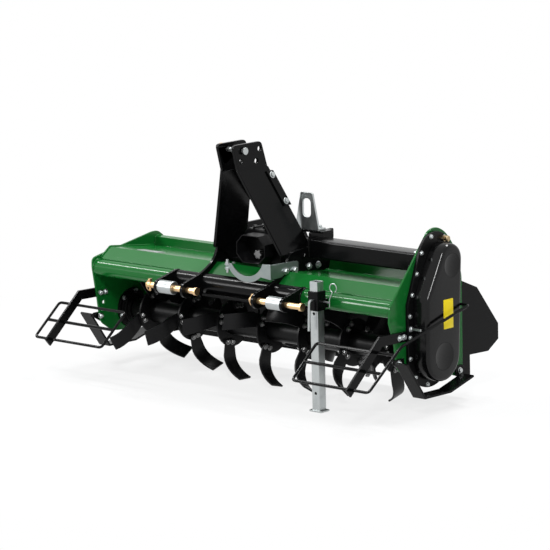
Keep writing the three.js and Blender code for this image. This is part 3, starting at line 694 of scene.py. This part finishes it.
TUBE_BEAD = 31.5                  # radius the beads run at round the front tube
OUTER_LUG = (309, 321)            # the two faces of an outer hitch lug
SEAM = (-156.5, 214.5)            # hood's front edge on the tube
BEAM_HALF, BEAM_BEAD = (43, 35), 12.5     # beam's half sizes; outer bead, in from the side plate
WEAVE = {"aid": (1, 0, 0), "ripple": 0.2, "pitch": 4}


class TILLER_OT_welds(bpy.types.Operator):
    """Weld beads of the hood, tube, headstock and drive beam"""
    bl_idname = "tiller.welds"
    bl_label = "Weld beads"

    def execute(self, context):
        coats = finishes(context.scene.tiller_finish)
        bead = context.scene.tiller_sizes.bead / MM
        green, black = Shape(), Shape()
        t = np.linspace(0, 2 * math.pi, 90, endpoint=False)
        circle = np.array(TUBE) + TUBE_BEAD * np.stack([np.cos(t), np.sin(t)], 1)
        inside = INNER - 1
        for s in (1, -1):
            hood = rounded_path(on_side(s * inside, np.array(HOOD) + (0, 3.2)), 3)
            path = np.concatenate([spaced(a, b, 2) for a, b in zip(hood[:-1], hood[1:])
                                   if np.linalg.norm(b - a) > 4])
            green.grid(along(path, bead, 8, **WEAVE))
            green.grid(along(on_side(s * inside, circle[:48]), bead, 8, **WEAVE))
        seam = spaced((-inside, *SEAM), (inside, *SEAM), 3)
        green.grid(along(seam, bead * 0.9, 8, ripple=0.12, pitch=5))
        for x in (LUG_SIDE, LUG_SIDE - LUG_WALL, *OUTER_LUG):
            for s in (1, -1):
                black.grid(along(on_side(s * x, circle[22:78]), bead, 8, **WEAVE))
        y, z = SHAFT
        wide, high = BEAM_HALF
        beam = rounded_path([(0, y, z - high), (0, y + wide, z - high), (0, y + wide, z + high),
                             (0, y - wide, z + high), (0, y - wide, z - high), (0, y, z - high)], 8)
        beam = np.concatenate([spaced(a, b, 3) for a, b in zip(beam[:-1], beam[1:])
                               if np.linalg.norm(b - a) > 1])
        for x in (INNER - BEAM_BEAD, LUG_SIDE + 1):
            black.grid(along(beam + (x, 0, 0), bead, 8, **WEAVE))
        piece("green_welds", green, coats["green_paint"], sharp=80)
        piece("black_welds", black, coats["black_paint"], sharp=80)
        return {"FINISHED"}


PLATES = (   # name and finish, middle, direction of its width and height, half sizes, corner
    ("yellow_plate", (COVER + 0.1, 25, 150), (0, 1, 0), (0, 0, 1), (26.5, 53), 3),
    ("silver_plate", (-557, -68, 249.8), (1, 0, 0), (0, 0.993, -0.120), (57, 21), 2),
)
PLATE_THICK = 0.7


class TILLER_OT_plates(bpy.types.Operator):
    """The two blank plates: yellow on the gear cover and silver on the hood"""
    bl_idname = "tiller.plates"
    bl_label = "Blank plates"

    def execute(self, context):
        coats = finishes(context.scene.tiller_finish)
        for name, middle, width, height, half, corner in PLATES:
            out = np.cross(width, height)
            slab = rounded_slab(half, corner, PLATE_THICK) @ np.array([width, height, out])
            shape = Shape()
            shape.grid(place(slab + np.array(middle)))
            piece(name, shape, coats[name])
        return {"FINISHED"}


def rounded_slab(half, corner, thick):
    """Rings of a thin plate: a rounded rectangle, four quarter circles joined by straight runs,
    at the foot and near the top, and the same pulled in a little at the top."""
    t = np.linspace(0, math.pi / 2, 6)
    arc = np.stack([np.cos(t), np.sin(t)], 1) * corner
    turns = [(1, 1, 0), (-1, 1, 1), (-1, -1, 2), (1, -1, 3)]
    rim = np.concatenate([
        np.array([sx * (half[0] - corner), sy * (half[1] - corner)])
        + arc @ np.linalg.matrix_power(np.array([[0, 1], [-1, 0]]), k) for sx, sy, k in turns])
    inset = rim * (1 - 0.5 / np.array(half))
    return np.stack([np.column_stack([edge, np.full(len(edge), z)])
                     for edge, z in ((rim, -0.1), (rim, thick * 0.6), (inset, thick))])


FOOT_BOLTS = [(-87, 253), (-50, 254), (5, 258), (55, 256)]   # the right side lacks the first two
HOLDER_FACE, HOLDER_BOLTS = LUG_SIDE + 6.3, [(-128, 260), (-80, 258)]
BOX_SIDE_BOLTS = [(-20, 300), (50, 300)]
GUARD_FACE, GUARD_BOLTS = FACE + 8.3, [(-163, 84), (-139, 84)]
SKID_FACE, SKID_BOLTS = FACE + 7, [(-167, -6), (171, -90)]


class TILLER_OT_frame_bolts(bpy.types.Operator):
    """Bolts of the headstock, mast, hood, guards and skids"""
    bl_idname = "tiller.frame_bolts"
    bl_label = "Frame bolts"

    def execute(self, context):
        coats = finishes(context.scene.tiller_finish)
        head = hex_bolt(context.scene.tiller_sizes.bolt / MM)
        dark, bright = Shape(), Shape()
        bright.bend_to(head, on_side(LUG_SIDE, FOOT_BOLTS[2:]), [1, 0, 0])
        bright.bend_to(head, on_side(-LUG_SIDE, FOOT_BOLTS), [-1, 0, 0])
        bright.bend_to(hex_bolt(12), on_side(HOLDER_FACE, HOLDER_BOLTS), [1, 0, 0])
        for s in (1, -1):
            dark.bend_to(head, on_side(s * LUG_SIDE, BOX_SIDE_BOLTS), [s, 0, 0])
            for face, bolts in ((GUARD_FACE, GUARD_BOLTS), (SKID_FACE, SKID_BOLTS)):
                bright.bend_to(hex_bolt(10), on_side(s * face, bolts), [s, 0, 0])
                bright.bend_to(hex_bolt(10, stud=6), on_side(s * INNER, bolts), [-s, 0, 0])
        piece("frame_bolts", dark, coats["black_paint"])
        piece("bright_bolts", bright, coats["zinc_plate"])
        return {"FINISHED"}


class TILLER_OT_stage(bpy.types.Operator):
    """Pale floor, soft studio light and the camera"""
    bl_idname = "tiller.stage"
    bl_label = "Stage"

    def execute(self, context):
        scene = context.scene
        stage_floor()
        stage_world(scene)
        for spec in LAMPS:
            stage_lamp(*spec)
        stage_camera(scene)
        scene.view_settings.view_transform = "Standard"
        return {"FINISHED"}


LAMPS = (      # name, place in m, size in m, power in W
    ("key", (4.2, -5.0, 5.6), (1.3, 1.3), 290),
    ("front", (-4.3, -5.1, 2.9), (1.0, 1.8), 170),
    ("top", (0.5, 2.0, 5.0), (3.2, 0.8), 230),
    ("strip", (-3.8, -0.5, 4.6), (0.3, 2.0), 110),
)
LAMP_AIM = (0, 0, 0.4)
FLOOR_HALF = 30.0
SHADOW_NEAR, SHADOW_FAR, SHADOW_SHARE = 0.9, 2.2, 0.22   # where the floor's shadow fades, in m
WORLD_LIGHT = 0.28


def stage_lamp(name, where, size, power):
    """A rectangular lamp turned towards the machine."""
    light = bpy.data.lights.new(name, "AREA")
    light.shape, (light.size, light.size_y), light.energy = "RECTANGLE", size, power
    lamp = bpy.data.objects.new(name, light)
    lamp.location = where
    lamp.rotation_euler = (Vector(LAMP_AIM) - Vector(where)).to_track_quat("-Z", "Y").to_euler()
    bpy.context.scene.collection.objects.link(lamp)


def seen_direct(f):
    """1 for rays from the camera, off a gloss or through a clear part, else 0."""
    camera = f.node("ShaderNodeLightPath", output="Is Camera Ray")
    outputs = camera.socket.node.outputs
    glossy, through = (Value(f, outputs[key]) for key in ("Is Glossy Ray", "Is Transmission Ray"))
    return camera.most(glossy).most(through)


def stage_floor():
    """Pale floor that shows white, with some of its own shading left near the machine."""
    f = Finish("floor")
    away = f.node("ShaderNodeVectorMath", {"operation": "LENGTH"}, {0: f.where}, output="Value")
    plain = f.node("ShaderNodeBsdfDiffuse", {}, {"Color": (0.80, 0.80, 0.80, 1)})
    glow = f.node("ShaderNodeEmission", {}, {"Color": (1, 1, 1, 1), "Strength": 1.0})
    faded = away.step(SHADOW_NEAR, SHADOW_FAR) * SHADOW_SHARE + (1 - SHADOW_SHARE)
    white = seen_direct(f) * faded
    f.out(f.node("ShaderNodeMixShader", {}, {0: white, 1: plain, 2: glow}))
    mesh = bpy.data.meshes.new("floor")
    r = FLOOR_HALF
    mesh.from_pydata([(-r, -r, 0), (r, -r, 0), (r, r, 0), (-r, r, 0)], [], [(0, 1, 2, 3)])
    mesh.materials.append(f.material)
    floor = bpy.data.objects.new("floor", mesh)
    bpy.context.scene.collection.objects.link(floor)


def stage_world(scene):
    """White where it is seen, and a low even light everywhere else."""
    world = bpy.data.worlds.new("studio")
    f = Graph(world)
    seen, lit = (f.node("ShaderNodeBackground", {}, {"Color": colour, "Strength": strength})
                 for colour, strength in (((1, 1, 1, 1), 1.0), ((0.93, 0.96, 1.0, 1), WORLD_LIGHT)))
    mixed = f.node("ShaderNodeMixShader", {}, {0: seen_direct(f), 1: lit, 2: seen})
    f.out(mixed, "ShaderNodeOutputWorld")
    scene.world = world


LENS, SENSOR = 214.57, 36.0                              # mm
AZIMUTH, ELEVATION, ROLL = 42.648, 10.504, -1.451         # degrees
REACH, AIM = 12.248, (-0.0415, 0.0655, 0.1910)            # m; the aim is from the rotor's middle


def stage_camera(scene):
    """Long lens from the front right, a little above, rolled by a degree and a half."""
    data = bpy.data.cameras.new("camera")
    data.lens, data.sensor_width = LENS, SENSOR
    data.clip_start, data.clip_end = 1.0, 100.0
    camera = bpy.data.objects.new("camera", data)
    a, e = math.radians(AZIMUTH), math.radians(ELEVATION)
    back = Vector((math.sin(a) * math.cos(e), -math.cos(a) * math.cos(e), math.sin(e)))
    right = Vector((math.cos(a), math.sin(a), 0))
    up = back.cross(right)
    c, s = math.cos(math.radians(ROLL)), math.sin(math.radians(ROLL))
    right, up = right * c + up * s, up * c - right * s
    camera.location = Vector(AXLE) + Vector(AIM) + back * REACH
    camera.rotation_euler = Matrix((right, up, back)).transposed().to_euler()
    bpy.context.scene.collection.objects.link(camera)
    scene.camera = camera


class TILLER_PT_panel(bpy.types.Panel):
    """Lists the tiller's settings and steps"""
    bl_idname = "TILLER_PT_panel"
    bl_label = "Rotary tiller"
    bl_space_type = "VIEW_3D"
    bl_region_type = "UI"
    bl_category = "Tiller"

    def draw(self, context):
        for group in (context.scene.tiller_finish, context.scene.tiller_sizes):
            for key in group.__annotations__:
                self.layout.prop(group, key)
        for step in STEPS:
            self.layout.operator(step.bl_idname)


STEPS = (TILLER_OT_stage, TILLER_OT_frame, TILLER_OT_case_bolts, TILLER_OT_tine_bolts,
         TILLER_OT_bearing_trim, TILLER_OT_mast_trim, TILLER_OT_clip, TILLER_OT_welds,
         TILLER_OT_plates, TILLER_OT_frame_bolts)
GROUPS = (TillerFinish, TillerSizes)


def register():
    for cls in (*GROUPS, *STEPS, TILLER_PT_panel):
        bpy.utils.register_class(cls)
    bpy.types.Scene.tiller_finish = PointerProperty(type=TillerFinish)
    bpy.types.Scene.tiller_sizes = PointerProperty(type=TillerSizes)


def unregister():
    del bpy.types.Scene.tiller_sizes
    del bpy.types.Scene.tiller_finish
    for cls in reversed((*GROUPS, *STEPS, TILLER_PT_panel)):
        bpy.utils.unregister_class(cls)


def main():
    """Builds every piece in order."""
    register()
    for step in STEPS:
        group, name = step.bl_idname.split(".")
        getattr(getattr(bpy.ops, group), name)()


if __name__ == "__main__":
    main()
